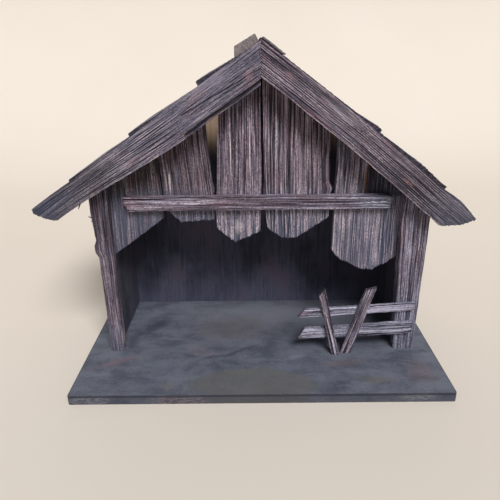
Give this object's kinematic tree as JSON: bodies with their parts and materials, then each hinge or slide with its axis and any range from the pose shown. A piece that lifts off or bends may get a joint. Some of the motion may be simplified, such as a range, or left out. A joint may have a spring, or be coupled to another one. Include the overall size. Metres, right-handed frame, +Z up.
{
  "type": "wooden nativity stable",
  "caption": "Empty rustic wooden stable for a nativity scene: flat base, lapped plank roof, hanging gable boards and a small fence.",
  "frame": {"origin": "centre of the underside of the base board", "axes": "+X to the right seen from the front, +Y to the back, +Z up"},
  "size_m": [0.5112, 0.25, 0.3971],
  "materials": {
    "base_board": "smooth board with a thin blue-grey stain, rubbed and blotched",
    "back_panel": "thin sheet, near-black stain inside that fades to raw wood at the top",
    "side_walls": "near-black stain",
    "posts": "rough sawn, dark stain with dry-brushed raised grain",
    "cross_beam": "rough sawn, dark stain with pale dry-brushed grain",
    "gable_boards": "rough sawn, dark stain with pale raised grain",
    "bargeboards": "rough sawn, dark stain with dry-brushed raised grain",
    "roof_panels": "thin sheet, dark stain",
    "roof_planks": "rough sawn, smoky grey stain",
    "ridge_boards": "rough sawn, weathered grey",
    "fence": "rough strips, pale dry-brushed grain"
  },
  "bodies": {
    "root": {"base_board": "base_board", "back_panel": "back_panel", "left_side_wall": "side_walls", "right_side_wall": "side_walls", "left_post": "posts", "right_post": "posts", "cross_beam": "cross_beam", "gable_board_1": "gable_boards", "gable_board_2": "gable_boards", "gable_board_3": "gable_boards", "gable_board_4": "gable_boards", "gable_board_5": "gable_boards", "left_bargeboard": "bargeboards", "right_bargeboard": "bargeboards", "left_roof_panel": "roof_panels", "right_roof_panel": "roof_panels", "left_roof_plank_1": "roof_planks", "left_roof_plank_2": "roof_planks", "left_roof_plank_3": "roof_planks", "left_roof_plank_4": "roof_planks", "right_roof_plank_1": "roof_planks", "right_roof_plank_2": "roof_planks", "right_roof_plank_3": "roof_planks", "ridge_slab": "ridge_boards", "ridge_strip": "ridge_boards", "fence_upper_rail": "fence", "fence_lower_rail": "fence", "fence_left_stake": "fence", "fence_right_stake": "fence"}
  },
  "joints": []
}
